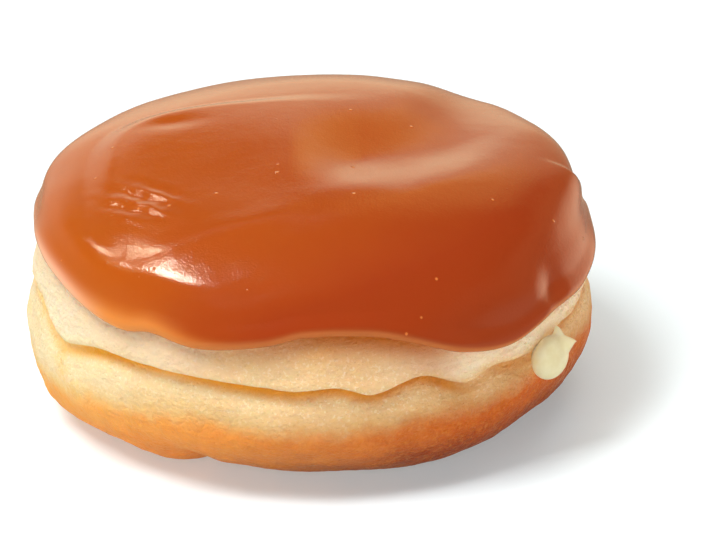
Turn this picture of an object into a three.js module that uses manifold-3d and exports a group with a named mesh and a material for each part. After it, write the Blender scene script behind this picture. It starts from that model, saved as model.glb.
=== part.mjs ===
// Maple doughnut: a round filled doughnut, fried in two rolls with a crease between them,
// with maple icing over its top and a peak of cream pushed out of the filling hole at its right.
// Millimetres, +Z up. The origin is on the floor under the middle. The front is towards -Y,
// and every angle is in degrees round the doughnut, from the front (0) towards +X (90).
import * as THREE from 'three';
import { mergeVertices } from 'three/addons/utils/BufferGeometryUtils.js';
import Module from 'manifold-3d';

const wasm = await Module();
wasm.setup();

const { degToRad, smoothstep } = THREE.MathUtils;

// Overall sizes
const DIAMETER = 90;
const HEIGHT = 43.5;
const RADIUS = DIAMETER / 2;
const FLAT_RADIUS = 24;
const FLAT_BLEND = 8;
const ICING_THICKNESS = 1.3;
const LIP_THICKNESS = 1.8;
const FIT_GAP = 0.3;
const DOUGH_HEIGHT = HEIGHT - ICING_THICKNESS - FIT_GAP;

// How finely the solids are drawn: columns round the doughnut, and rows up its section.
// The low, band and crown rows are shares of their stretch, the crease's rows are millimetres from it.
const COLUMNS = 80;
const LOW_ROWS = [0, 0.16, 0.32, 0.48, 0.62, 0.75, 0.88];
const CREASE_ROWS = [-5, -3, -1.6, -0.7, 0, 0.5, 1.2, 2.2, 3.4];
const BAND_ROWS = [0.55, 1];
const CROWN_ROWS = [0.06, 0.13, 0.21, 0.3, 0.4, 0.5, 0.6, 0.7, 0.8, 0.9];
// The icing's rounded lip: millimetres above its edge, and share of the lip's thickness
const LIP_ROWS = [
  { above: 0, share: 0 },
  { above: -0.5, share: 0.35 },
  { above: -0.3, share: 0.75 },
  { above: 0.6, share: 1 },
];

// Section of the dough, from the edge of the flat spot it rests on to its crown:
// shares of the radius and of the dough's height, and the unevenness that each point has.
const SECTION = [
  { out: FLAT_RADIUS / RADIUS, up: 0 },
  { out: 0.775, up: 0.022, uneven: 'foot' },
  { out: 0.915, up: 0.105, uneven: 'foot' },
  { out: 0.983, up: 0.225, uneven: 'belly' },
  { out: 1.0, up: 0.345, uneven: 'belly' },
  { out: 1.0, up: 0.47, uneven: 'waist' },
  { out: 1.0, up: 0.6, uneven: 'roll' },
  { out: 0.962, up: 0.735, uneven: 'roll' },
  { out: 0.848, up: 0.873, uneven: 'shoulder' },
  { out: 0.62, up: 0.95 },
  { out: 0.32, up: 0.987 },
  { out: 0, up: 1 },
];

// How far each level stands out of round, as [angle, millimetres]
const UNEVEN = {
  foot: [[-160, -0.2], [-120, 0.3], [-90, 0.6], [-70, 1.5], [-52, 0.5], [-38, -0.6], [-28, -2],
    [-16, -2.6], [0, -2], [17, -1.5], [32, 0.2], [50, -0.5], [64, -0.6], [110, 0.3], [145, -0.3]],
  belly: [[-160, 0], [-120, -0.2], [-90, 0.3], [-62, 0.5], [-30, -0.2], [0, -0.2], [30, 0.3],
    [60, 0.2], [90, 0.1], [130, -0.2]],
  waist: [[-160, 0], [-120, -0.2], [-90, -0.9], [-62, 0.2], [-30, 0], [30, 0.2], [60, 0.2],
    [90, -0.4], [130, -0.2]],
  roll: [[-165, -0.8], [-120, -0.4], [-92, -1.4], [-66, -0.6], [-30, -0.2], [35, 0.1], [62, -0.4],
    [90, -1.3], [130, -0.6]],
  shoulder: [[-160, 1.2], [-130, 1.5], [-100, 0.9], [-60, 0.3], [0, 0], [60, 0], [100, 2.2],
    [118, 1.3], [132, 2], [158, 0.1]],
};

// Height of the icing's wavy edge, as [angle, millimetres]
const ICING_EDGE = [
  [-180, 28], [-160, 26.3], [-140, 28], [-106, 29.4], [-77, 31.1], [-62, 30.2], [-46, 27.8],
  [-38, 27.3], [-32, 28.1], [-22, 27], [-9, 28.2], [-1, 29.5], [12, 29], [20, 27.3], [30, 24.4],
  [42, 22.9], [55, 24.7], [68, 24.8], [84, 26.4], [100, 27.2], [120, 25.6], [140, 27.4], [160, 25.9],
];

// The crease between the two rolls: its height and its depth, as [angle, millimetres]
const CREASE_HEIGHT = [
  [-180, 19.6], [-155, 20.4], [-130, 19.2], [-105, 21.4], [-85, 22.8], [-71, 22.9], [-65, 20.4],
  [-59, 19.1], [-52, 20.3], [-45, 21.5], [-34, 21.5], [-20, 21], [-4, 19.8], [5, 20.2], [12, 18.7],
  [22, 20.4], [32, 17.4], [38, 18.7], [48, 18.2], [62, 20.1], [80, 20.4], [102, 19], [126, 20.4],
  [152, 18.6],
];
const CREASE_DEPTH = [
  [-180, 2], [-155, 1.3], [-130, 1.9], [-110, 0.9], [-95, 0.5], [-78, 0.3], [-66, 0.5], [-58, 0.8],
  [-50, 1.5], [-35, 2.3], [-15, 1.9], [0, 1.8], [15, 2.1], [28, 1.7], [34, 0.4], [43, 1.1],
  [54, 0.3], [63, 1.2], [73, 0.5], [88, 1.3], [120, 1.9], [150, 1.3],
];
const CREASE_FLOOR_SLOPE = 2.8;
const CREASE_LIP_SLOPE = 1.1;
const LIP_OVERHANG = { above: 1.6, width: 1.3, outwards: 0.25, downwards: 0.35 };

// Relief of the crown: it rises a little in the middle, and its left part slopes down to the front
// from a crest that ends the mound at the left and back. Beyond that crest lies a lower shelf.
const CROWN_RISE = { height: 0.65, fade: [26, 40] };
const FRONT_SLOPE = { drop: 2.8, along: [-17, 22], right: [-22, 20], fade: [38, 60] };
const MOUND = { centre: [-4, -11], half: [27.9, 26.3], squareness: 4.5 };
const SHELF = { ease: 0.6, edge: [0.93, 1.32], front: [-34, -13], right: [-24, 14] };
const SHELF_STEP = { drop: 1.1, edge: [0.96, 1.13], front: [-26, 6] };
// A wide trough runs from the middle to the right. In front of it is a crest with a tongue to the front,
// and a low fold carries that crest on to the front left.
const TROUGH = {
  middle: -5, bend: 0.02, from: 4, depth: 2.4, left: [-3, 9], right: [22, 38],
  backWidth: 11.5, widening: 0.12, widensFrom: 12,
};
const CREST = { middle: -20.3, bend: 0.022, from: 12, tongue: { place: 15, reach: 2.5, width: 4 } };
const FOLD = { middle: -23.7, lean: 0.25, height: 0.25, width: 3.5, left: [-28, -20], right: [-8, 2] };

// Low waves round the side: how high, how many round the doughnut, how much they lean and where they start
const SIDE_WAVES = [
  { height: 0.22, count: 3, lean: 0.1, start: 1 },
  { height: 0.16, count: 7, lean: -0.3, start: 0 },
  { height: 0.12, count: 13, lean: 0.5, start: 2 },
];
// Shares of the dough's height between which the side turns into the crown
const SIDE_END = [0.8, 0.95];
const CROWN_START = [0.5, 0.8];

// A step in the right side of the icing, a dent in its edge above the cream,
// and a notch low in the crust at the front left
const SIDE_STEP = { rise: [87, 89.5], fade: [100, 122], bottom: [25, 30], top: [36.5, 38.5], depth: 0.9 };
const EDGE_DENT = { angle: 55, width: 3.5, height: 27.5, tall: 2.6, depth: 0.7 };
const NOTCH = { angle: -28, width: 3.5, height: 3, tall: 3.2, depth: 1.4 };

// The cream: a pocket in the middle, a neck to the filling hole, and the peak that shows
const POCKET = { centre: [1, -1, 19.5], half: [25, 23, 7.5] };
const HOLE = { angle: 53, height: 17, radius: 2.4, neckStart: 13.8 };
// The peak is an egg against the wall, drawn out to a beak at its right and a wisp on top.
// Sizes and places are [outwards, sideways, up], the horns' from the egg's middle.
const EGG = { reach: 46.4, half: [2.5, 3.8, 3.6], narrowing: 0.2 };
const BEAK = {
  base: [0.4, 0.9, 0.6], bend: [1.7, 2.8, 2.6], tip: [2.2, 4.7, 1.4], baseRadius: 2.8, tipRadius: 0.3,
};
const WISP = {
  base: [0.2, 1.7, 1.9], bend: [0.1, 2.4, 3.5], tip: [-0.3, 2.1, 4.7], baseRadius: 1.4, tipRadius: 0.5,
};
const HORN_TAPER = 1.6;

// Smooth closed curve through [angle, value] knots
function around(angle, knots) {
  const count = knots.length;
  const turn = (from, to) => ((to - from) % 360 + 360) % 360;
  let i = 0;
  while (i < count - 1 && turn(knots[0][0], knots[i + 1][0]) <= turn(knots[0][0], angle)) i += 1;
  const [before, start, end, after] = [i + count - 1, i, i + 1, i + 2].map((k) => knots[k % count]);
  const span = turn(start[0], end[0]);
  const slopeStart = (end[1] - before[1]) / turn(before[0], end[0]);
  const slopeEnd = (after[1] - start[1]) / turn(start[0], after[0]);
  const t = turn(start[0], angle) / span;
  return (2 * t ** 3 - 3 * t ** 2 + 1) * start[1] + (t ** 3 - 2 * t ** 2 + t) * span * slopeStart
    + (3 * t ** 2 - 2 * t ** 3) * end[1] + (t ** 3 - t ** 2) * span * slopeEnd;
}

// Rounded bump of height 1 about zero
const bell = (distance, width) => Math.exp(-((distance / width) ** 2));

// Section curve at one angle, with the lengths along it of the crease, the icing's edge and the crown
function sectionAt(angle) {
  const points = SECTION.map(({ out, up, uneven }) => new THREE.Vector2(
    out * RADIUS + (uneven ? around(angle, UNEVEN[uneven]) : 0),
    up * DOUGH_HEIGHT,
  ));
  const curve = new THREE.SplineCurve(points);
  const steps = 400;
  const lengths = curve.getLengths(steps);
  const lengthAtHeight = (height) => {
    const k = lengths.findIndex((_, i) => curve.getPoint(i / steps).y >= height);
    return lengths[k];
  };
  return {
    curve,
    angle,
    crease: lengthAtHeight(around(angle, CREASE_HEIGHT)),
    edge: lengthAtHeight(around(angle, ICING_EDGE)),
    crown: curve.getLength(),
  };
}
const sections = Array.from({ length: COLUMNS }, (_, i) => sectionAt((360 * i) / COLUMNS));

// One from a low to a high end of a range, falling to nought over another range
const between = (x, rise, fall) => smoothstep(x, ...rise) * (1 - smoothstep(x, ...fall));

// Depth of the wide trough: a short wall up to the crest in front of it, and a long one behind
function troughDepth(x, y) {
  const bottom = TROUGH.middle + TROUGH.bend * Math.max(0, x - TROUGH.from) ** 2;
  const { tongue } = CREST;
  const crest = CREST.middle + CREST.bend * Math.max(0, x - CREST.from) ** 2
    - tongue.reach * bell(x - tongue.place, tongue.width);
  const backWidth = TROUGH.backWidth + TROUGH.widening * Math.max(0, x - TROUGH.widensFrom) ** 2;
  const wall = y < bottom
    ? 1 - smoothstep((bottom - y) / (bottom - crest), 0, 1)
    : bell(y - bottom, backWidth);
  return TROUGH.depth * wall * between(x, TROUGH.left, TROUGH.right);
}

// Rise or fall of the crown at a place seen from above
function crownRelief(x, y) {
  const reach = Math.hypot(x, y);
  const rise = CROWN_RISE.height * (1 - smoothstep(reach, ...CROWN_RISE.fade));
  const slope = FRONT_SLOPE.drop * (1 - smoothstep(y, ...FRONT_SLOPE.along))
    * (1 - smoothstep(x, ...FRONT_SLOPE.right)) * (1 - smoothstep(reach, ...FRONT_SLOPE.fade));
  const power = MOUND.squareness;
  const across = Math.abs(x - MOUND.centre[0]) / MOUND.half[0];
  const along = Math.abs(y - MOUND.centre[1]) / MOUND.half[1];
  const fromMound = (across ** power + along ** power) ** (1 / power);
  const behind = 1 - smoothstep(x, ...SHELF.right);
  const shelf = SHELF.ease * smoothstep(fromMound, ...SHELF.edge) * smoothstep(y, ...SHELF.front) * behind;
  const step = SHELF_STEP.drop * smoothstep(fromMound, ...SHELF_STEP.edge)
    * smoothstep(y, ...SHELF_STEP.front) * behind;
  const fold = FOLD.height * between(x, FOLD.left, FOLD.right)
    * bell(y - FOLD.middle - FOLD.lean * x, FOLD.width);
  return rise - slope * (1 - shelf) - step - troughDepth(x, y) + fold;
}

// How deep a rounded dent in the side is at one angle and height
const dentDepth = (dent, angle, height) => (
  dent.depth * bell(angle - dent.angle, dent.width) * bell(height - dent.height, dent.tall)
);

// How far the side stands out of its section at one angle and height
function sideRelief(angle, height) {
  const signed = angle > 180 ? angle - 360 : angle;
  let out = 0;
  for (const wave of SIDE_WAVES) {
    out += wave.height * Math.sin(wave.count * degToRad(angle) + wave.lean * height + wave.start);
  }
  const past = signed - (SIDE_STEP.top[0] - height);
  const step = between(past, SIDE_STEP.rise, SIDE_STEP.fade)
    * between(height, SIDE_STEP.bottom, SIDE_STEP.top);
  out -= SIDE_STEP.depth * step + dentDepth(EDGE_DENT, signed, height) + dentDepth(NOTCH, signed, height);
  return out;
}

// Point of the dough's surface at a length along a section, moved out by a thickness
function surfacePoint(section, length, thickness = 0) {
  const share = THREE.MathUtils.clamp(length / section.crown, 0, 1);
  const base = section.curve.getPointAt(share);
  const tangent = section.curve.getTangentAt(share);
  const normal = new THREE.Vector2(tangent.y, -tangent.x);
  const above = length - section.crease;
  const depth = around(section.angle, CREASE_DEPTH);
  const hollow = depth * bell(above, above < 0 ? CREASE_FLOOR_SLOPE : CREASE_LIP_SLOPE);
  const lip = depth * bell(above - LIP_OVERHANG.above, LIP_OVERHANG.width);
  const height = base.y / DOUGH_HEIGHT;
  const side = smoothstep(length, 0, FLAT_BLEND) * (1 - smoothstep(height, ...SIDE_END));
  const out = side * sideRelief(section.angle, base.y) - hollow + LIP_OVERHANG.outwards * lip + thickness;
  const radius = Math.max(0, base.x + normal.x * out);
  const turn = degToRad(section.angle);
  const [x, y] = [radius * Math.sin(turn), -radius * Math.cos(turn)];
  const crownShare = Math.max(0, normal.y) * smoothstep(height, ...CROWN_START);
  const z = base.y + normal.y * out - LIP_OVERHANG.downwards * lip + crownShare * crownRelief(x, y);
  return new THREE.Vector3(x, y, Math.max(0, z));
}

// A turned form whose rows of points are then moved: row(section) gives the point of one row.
// The first bands can be split along their other diagonal, to lie facet on facet on another form.
function turnedForm(rows, otherDiagonal = 0) {
  const count = rows.length;
  const profile = rows.map((_, i) => new THREE.Vector2(i === 0 || i === count - 1 ? 0 : 1, i));
  const geometry = new THREE.LatheGeometry(profile, COLUMNS);
  const position = geometry.attributes.position;
  for (let column = 0; column <= COLUMNS; column += 1) {
    rows.forEach((row, i) => {
      const point = row(sections[column % COLUMNS]);
      position.setXYZ(column * count + i, point.x, point.y, point.z);
    });
  }
  for (let column = 0; column < COLUMNS; column += 1) {
    for (let band = 0; band < otherDiagonal; band += 1) {
      const a = column * count + band;
      const first = (column * (count - 1) + band) * 6;
      [a, a + count, a + count + 1, a + count + 1, a + 1, a].forEach((corner, k) => {
        geometry.index.setX(first + k, corner);
      });
    }
  }
  return geometry;
}

// A closed geometry as a solid
function solidOf(geometry) {
  geometry.deleteAttribute('normal');
  geometry.deleteAttribute('uv');
  const merged = mergeVertices(geometry, 1e-4);
  const corners = [];
  for (let i = 0; i < merged.index.count; i += 3) {
    const [a, b, c] = [0, 1, 2].map((k) => merged.index.getX(i + k));
    if (a !== b && b !== c && c !== a) corners.push(a, b, c);
  }
  return new wasm.Manifold(new wasm.Mesh({
    numProp: 3,
    vertProperties: new Float32Array(merged.attributes.position.array),
    triVerts: new Uint32Array(corners),
  }));
}

// A solid back as a geometry
function geometryOf(solid) {
  const mesh = solid.getMesh();
  const geometry = new THREE.BufferGeometry();
  geometry.setAttribute('position', new THREE.BufferAttribute(new Float32Array(mesh.vertProperties), 3));
  geometry.setIndex(new THREE.BufferAttribute(new Uint32Array(mesh.triVerts), 1));
  geometry.computeVertexNormals();
  return geometry;
}

// The whole doughnut's dough, before the cream is let into it
function doughShell() {
  const [creaseStart, creaseEnd] = [CREASE_ROWS[0], CREASE_ROWS.at(-1)];
  const rows = [
    () => new THREE.Vector3(0, 0, 0),
    ...LOW_ROWS.map((share) => (s) => surfacePoint(s, share * (s.crease + creaseStart))),
    ...CREASE_ROWS.map((above) => (s) => surfacePoint(s, s.crease + above)),
    ...BAND_ROWS.map((share) => (s) => {
      const start = s.crease + creaseEnd;
      return surfacePoint(s, start + share * (s.edge - start));
    }),
    ...CROWN_ROWS.map((share) => (s) => surfacePoint(s, s.edge + share * (s.crown - s.edge))),
    () => surfacePoint(sections[0], sections[0].crown),
  ];
  return solidOf(turnedForm(rows));
}

// The icing: a skin over the crown with a thicker rounded lip at its wavy edge
function icingSkin() {
  const shares = CROWN_ROWS.toReversed();
  const top = FIT_GAP + ICING_THICKNESS;
  const nearLip = FIT_GAP + (ICING_THICKNESS + LIP_THICKNESS) / 2;
  const row = (share, thickness) => (s) => surfacePoint(s, s.edge + share * (s.crown - s.edge), thickness);
  const rows = [
    () => surfacePoint(sections[0], sections[0].crown, FIT_GAP),
    ...shares.map((share) => row(share, FIT_GAP)),
    ...LIP_ROWS.map(({ above, share }) => (s) => (
      surfacePoint(s, s.edge + above, FIT_GAP + share * LIP_THICKNESS)
    )),
    ...CROWN_ROWS.map((share, i) => row(share, i === 0 ? nearLip : top)),
    () => surfacePoint(sections[0], sections[0].crown, top),
  ];
  return solidOf(turnedForm(rows, shares.length + 1));
}

// The cream's pocket in the middle of the dough
function creamPocket(grow) {
  const geometry = new THREE.SphereGeometry(1, 24, 12);
  geometry.scale(...POCKET.half.map((half) => half + grow));
  geometry.translate(...POCKET.centre);
  return solidOf(geometry);
}

// A place on the filling hole's line, at a distance from the doughnut's axis
function onHoleLine(reach) {
  const turn = degToRad(HOLE.angle);
  return new THREE.Vector3(reach * Math.sin(turn), -reach * Math.cos(turn), HOLE.height);
}

// The neck of cream in the hole
function creamNeck(grow) {
  const start = onHoleLine(HOLE.neckStart);
  const end = onHoleLine(EGG.reach);
  const radius = HOLE.radius + grow;
  const geometry = new THREE.CylinderGeometry(radius, radius, start.distanceTo(end), 16);
  geometry.applyQuaternion(new THREE.Quaternion().setFromUnitVectors(
    new THREE.Vector3(0, 1, 0),
    end.clone().sub(start).normalize(),
  ));
  geometry.translate(...start.add(end).multiplyScalar(0.5).toArray());
  return solidOf(geometry);
}

// A place near the peak, given as [outwards, sideways, up] from the egg's middle
function onPeak([outwards, sideways, up]) {
  const turn = degToRad(HOLE.angle);
  return onHoleLine(EGG.reach + outwards)
    .add(new THREE.Vector3(sideways * Math.cos(turn), sideways * Math.sin(turn), up));
}

// The egg of cream against the wall, narrower at its top
function creamEgg(grow) {
  const geometry = new THREE.SphereGeometry(1, 24, 18);
  geometry.rotateX(Math.PI / 2);
  const position = geometry.attributes.position;
  for (let i = 0; i < position.count; i += 1) {
    const way = new THREE.Vector3().fromBufferAttribute(position, i);
    const [outwards, sideways, up] = EGG.half.map((half, axis) => (half + grow) * way.getComponent(axis));
    const narrow = 1 - EGG.narrowing * Math.max(0, way.z);
    position.setXYZ(i, ...onPeak([outwards * narrow, sideways * narrow, up]).toArray());
  }
  return solidOf(geometry);
}

// A horn drawn out of the egg along a curve, with round ends
function creamHorn({ base, bend, tip, baseRadius, tipRadius }, grow) {
  const curve = new THREE.QuadraticBezierCurve3(onPeak(base), onPeak(bend), onPeak(tip));
  const along = onPeak(tip).sub(onPeak(base)).normalize();
  const across = new THREE.Vector3(0, 0, 1).cross(along).normalize();
  const above = along.clone().cross(across);
  const geometry = new THREE.SphereGeometry(1, 16, 14);
  const position = geometry.attributes.position;
  for (let i = 0; i < position.count; i += 1) {
    const way = new THREE.Vector3().fromBufferAttribute(position, i);
    const share = (1 + way.y) / 2;
    const radius = grow + tipRadius + (baseRadius - tipRadius) * (1 - share) ** HORN_TAPER;
    const point = curve.getPoint(share)
      .addScaledVector(along, grow * way.y)
      .addScaledVector(across, radius * way.z)
      .addScaledVector(above, radius * way.x);
    position.setXYZ(i, ...point.toArray());
  }
  return solidOf(geometry);
}

// All of the cream, or the room that it takes in the dough
function creamBody(grow) {
  return [creamNeck(grow), creamEgg(grow), creamHorn(BEAK, grow), creamHorn(WISP, grow)]
    .reduce((whole, piece) => whole.add(piece), creamPocket(grow));
}

function piece(name, solid, colour, roughness) {
  const material = new THREE.MeshStandardMaterial({ color: colour, roughness, metalness: 0 });
  const mesh = new THREE.Mesh(geometryOf(solid), material);
  mesh.name = name;
  return mesh;
}

const doughnut = new THREE.Group();
doughnut.add(piece('dough', doughShell().subtract(creamBody(FIT_GAP)), 0xe6c98f, 0.75));
doughnut.add(piece('icing', icingSkin(), 0xb9561f, 0.25));
doughnut.add(piece('cream', creamBody(0), 0xece6bf, 0.4));

export default doughnut;
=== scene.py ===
import math

import bmesh
import bpy
import numpy as np
from mathutils import Matrix, Vector, noise


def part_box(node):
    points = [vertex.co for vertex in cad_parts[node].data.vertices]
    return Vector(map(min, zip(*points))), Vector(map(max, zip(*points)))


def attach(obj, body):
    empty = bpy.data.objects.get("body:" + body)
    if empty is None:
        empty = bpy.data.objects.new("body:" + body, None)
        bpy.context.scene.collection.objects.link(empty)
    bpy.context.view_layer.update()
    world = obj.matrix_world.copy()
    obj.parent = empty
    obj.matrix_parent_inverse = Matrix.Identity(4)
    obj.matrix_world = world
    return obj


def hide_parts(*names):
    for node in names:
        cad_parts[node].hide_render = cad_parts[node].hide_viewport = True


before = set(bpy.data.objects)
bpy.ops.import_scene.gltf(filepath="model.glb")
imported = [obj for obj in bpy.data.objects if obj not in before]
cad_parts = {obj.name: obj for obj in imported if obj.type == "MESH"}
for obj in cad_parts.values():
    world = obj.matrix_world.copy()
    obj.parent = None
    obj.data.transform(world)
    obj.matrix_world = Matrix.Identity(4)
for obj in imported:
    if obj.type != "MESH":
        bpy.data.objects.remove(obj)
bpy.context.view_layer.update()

MM = 0.001
IMAGE_WIDTH = 720
IMAGE_HEIGHT = 560

# Glow of the studio round the doughnut: degrees from straight behind towards +X, and colour
GLOW_ROUND = [
    (-180, (0.05, 0.05, 0.04)),
    (-95, (0.08, 0.08, 0.06)),
    (-62, (0.28, 0.27, 0.22)),
    (-40, (0.6, 0.58, 0.46)),
    (-18, (1.05, 0.95, 0.74)),
    (12, (1.15, 0.82, 0.46)),
    (32, (0.5, 0.26, 0.1)),
    (80, (0.42, 0.24, 0.13)),
    (120, (0.05, 0.04, 0.03)),
    (180, (0.05, 0.05, 0.04)),
]
# Sines of the elevations over which that glow begins and over which it ends, and the even glow below and
# above it
GLOW_BOTTOM = (-0.3, 0.12)
GLOW_TOP = (0.38, 0.58)
FLOOR_SHEEN = (0.52, 0.39, 0.27)
OVERHEAD_SHEEN = (0.03, 0.03, 0.03)
# Soft round patches of more glow: degrees from straight behind towards +X, elevation, radius and colour
GLOW_PATCHES = [
    (13, 37, 17, (1.25, 0.75, 0.2)),
    (-2, 6, 16, (0.36, 0.36, 0.22)),
    (50, -10, 26, (1.5, 0.95, 0.6)),
]
# The floor's own colour, and a faint glow that lightens the shadow on it
FLOOR_COLOUR = (0.82, 0.9, 0.96)
FLOOR_GLOW = (0.08, 0.12, 0.13)

# Softboxes that face the doughnut: the way to each, its distance, width and height in metres, power in
# watts and colour. Those of the first kind light the surfaces' colour, and the others only their gloss.
COLOUR_LIGHTS = {
    "key softbox": ((-0.42, -0.26, 0.87), 1.3, (0.5, 0.5), 13, (1, 0.98, 0.94)),
    "side softbox": ((-0.85, -0.25, 0.45), 1.3, (0.5, 0.5), 4.5, (1, 0.98, 0.94)),
    "top fill": ((0, 0.07, 1), 1.5, (1.6, 1.6), 9, (1, 1, 1)),
    "front fill": ((-0.2, -1.3, 0.5), 1.4, (1.2, 0.6), 4.5, (1, 1, 1)),
    "right fill": ((0.85, -0.45, 0.3), 1.3, (0.6, 0.6), 6.2, (1, 0.94, 0.82)),
}
GLOSS_LIGHTS = {
    "main gloss": ((-0.422, 0.254, 0.870), 1.2, (0.17, 0.07), 3, (1, 0.96, 0.8)),
    "main halo": ((-0.467, 0.281, 0.839), 1.2, (0.32, 0.24), 0.4, (1, 0.86, 0.4)),
    "left gloss": ((-0.395, 0.548, 0.740), 1.2, (0.06, 0.07), 0.55, (1, 0.93, 0.65)),
    "faint gloss": ((-0.207, 0.636, 0.743), 1.5, (0.5, 0.14), 0.07, (1, 1, 1)),
}
SHADOWLESS = ("side softbox", "right fill")
LIGHT_TARGET = Vector((0, 0, 0.02))

# Overall sizes in millimetres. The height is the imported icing's.
HEIGHT = (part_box("icing")[1] / MM).z
RADIUS = 45.0
FLAT_RADIUS = 24.0
ICING_THICKNESS = 1.6
LIP_THICKNESS = 2.1
DOUGH_HEIGHT = HEIGHT - ICING_THICKNESS

# Section of the dough, from the edge of the flat spot it rests on to its crown:
# shares of the radius and of the dough's height, and the unevenness that each point has
SECTION = [
    (FLAT_RADIUS / RADIUS, 0.0, None),
    (0.775, 0.022, "foot"),
    (0.915, 0.105, "foot"),
    (0.983, 0.225, "belly"),
    (1.0, 0.345, "belly"),
    (1.0, 0.47, "waist"),
    (1.0, 0.6, "roll"),
    (0.962, 0.735, "roll"),
    (0.848, 0.873, "shoulder"),
    (0.62, 0.95, None),
    (0.32, 0.987, None),
    (0.0, 1.0, None),
]

# How far each level stands out of round, as (angle, millimetres)
UNEVEN = {
    "foot": [(-160, -0.2), (-120, 0.3), (-90, 0.6), (-70, 1.5), (-52, 0.5), (-38, -0.6), (-28, -2),
             (-16, -2.6), (0, -2), (17, -1.5), (32, 0.2), (50, -0.5), (64, -0.6), (110, 0.3),
             (145, -0.3)],
    "belly": [(-160, 0), (-120, -0.2), (-90, 0.3), (-62, 0.5), (-30, -0.2), (0, -0.2), (30, 0.3),
              (60, 0.2), (90, 0.1), (130, -0.2)],
    "waist": [(-160, 0), (-120, -0.2), (-90, -0.9), (-62, 0.2), (-30, 0), (30, 0.2), (60, 0.2),
              (90, -0.4), (130, -0.2)],
    "roll": [(-165, -0.8), (-120, -0.4), (-92, -1.4), (-66, -0.6), (-30, -0.2), (35, 0.1), (62, -0.4),
             (90, -1.3), (130, -0.6)],
    "shoulder": [(-160, 1.2), (-130, 1.5), (-100, 0.9), (-60, 0.3), (0, 0), (60, 0), (100, 2.2),
                 (118, 1.3), (132, 2), (158, 0.1)],
}

# Height of the icing's wavy edge, as (angle, millimetres)
ICING_EDGE = [
    (-180, 28), (-160, 26.3), (-140, 28), (-106, 29.4), (-77, 31.1), (-62, 30.2), (-46, 27.8),
    (-38, 27.3), (-32, 28.1), (-22, 27), (-9, 28.2), (-1, 29.5), (12, 29), (20, 27.3), (30, 24.4),
    (42, 22.9), (55, 24.7), (68, 24.8), (84, 26.4), (100, 27.2), (120, 25.6), (140, 27.4), (160, 25.9),
]

# The crease between the two rolls: its height and its depth, as (angle, millimetres)
CREASE_HEIGHT = [
    (-180, 19.6), (-155, 20.4), (-130, 19.2), (-105, 21.4), (-85, 22.8), (-71, 22.9), (-65, 20.4),
    (-59, 19.1), (-52, 20.3), (-45, 21.5), (-34, 21.5), (-20, 21), (-4, 19.8), (5, 20.2), (12, 18.7),
    (22, 20.4), (32, 17.4), (38, 18.7), (48, 18.2), (62, 20.1), (80, 20.4), (102, 19), (126, 20.4),
    (152, 18.6),
]
CREASE_DEPTH = [
    (-180, 2), (-155, 1.3), (-130, 1.9), (-110, 0.9), (-95, 0.5), (-78, 0.3), (-66, 0.5), (-58, 0.8),
    (-50, 1.5), (-35, 2.3), (-15, 1.9), (0, 1.8), (15, 2.1), (28, 1.7), (34, 0.4), (43, 1.1), (54, 0.3),
    (63, 1.2), (73, 0.5), (88, 1.3), (120, 1.9), (150, 1.3),
]
# How far the crease reaches down and up the side from its deepest line
CREASE_FLOOR_SLOPE = 2.8
CREASE_LIP_SLOPE = 0.8
# The upper roll bulges out and sags over the crease: where, and by what shares of the crease's depth
LIP_OVERHANG_ABOVE = 1.3
LIP_OVERHANG_WIDTH = 1.1
LIP_OVERHANG_OUTWARDS = 0.25
LIP_OVERHANG_DOWNWARDS = 0.35

# How pale the icing's lip is, by angle
LIP_PALENESS = [
    (-180, 0.3), (-120, 0.7), (-80, 1), (-48, 1), (-30, 0.6), (-12, 0.12), (5, 0), (30, 0), (60, 0),
    (90, 0.2), (130, 0.3),
]
# Height up to which the crust is browned, and how strongly the dough under the icing is browned and darkened
# with painted shade, by angle
CRUST_HEIGHT = [
    (-150, 12), (-110, 11), (-69, 10.5), (-45, 13), (-23, 14.6), (-8, 13.6), (8, 12.8), (23, 14),
    (42, 14.6), (55, 16), (69, 15.5), (80, 15), (110, 13), (150, 12),
]
UNDER_ICING = [(-180, 0.5), (-60, 0.3), (-20, 0.5), (3, 1), (22, 1), (34, 0.2), (60, 0.05), (100, 0.4)]


def around(angles, knots):
    """Smooth closed curve through (angle, value) knots, at an array of angles."""
    knot = np.array([k[0] for k in knots], float)
    value = np.array([k[1] for k in knots], float)
    count = len(knots)
    ahead = (np.asarray(angles, float) - knot[0]) % 360
    start = np.searchsorted(knot - knot[0], ahead, side="right") - 1
    end, before, after = (start + 1) % count, (start - 1) % count, (start + 2) % count
    span = (knot[end] - knot[start]) % 360
    slope_start = (value[end] - value[before]) / ((knot[end] - knot[before]) % 360)
    slope_end = (value[after] - value[start]) / ((knot[after] - knot[start]) % 360)
    t = (ahead - (knot[start] - knot[0])) / span
    return ((2 * t**3 - 3 * t**2 + 1) * value[start] + (t**3 - 2 * t**2 + t) * span * slope_start
            + (3 * t**2 - 2 * t**3) * value[end] + (t**3 - t**2) * span * slope_end)


def smoothstep(x, low, high):
    """Nought up to low and one from high, with a soft rise between."""
    t = np.clip((np.asarray(x, float) - low) / (high - low), 0, 1)
    return t * t * (3 - 2 * t)


def bell(distance, width):
    """One at no distance, falling softly to nearly nought at twice the width."""
    return np.exp(-((distance / width) ** 2))


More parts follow.
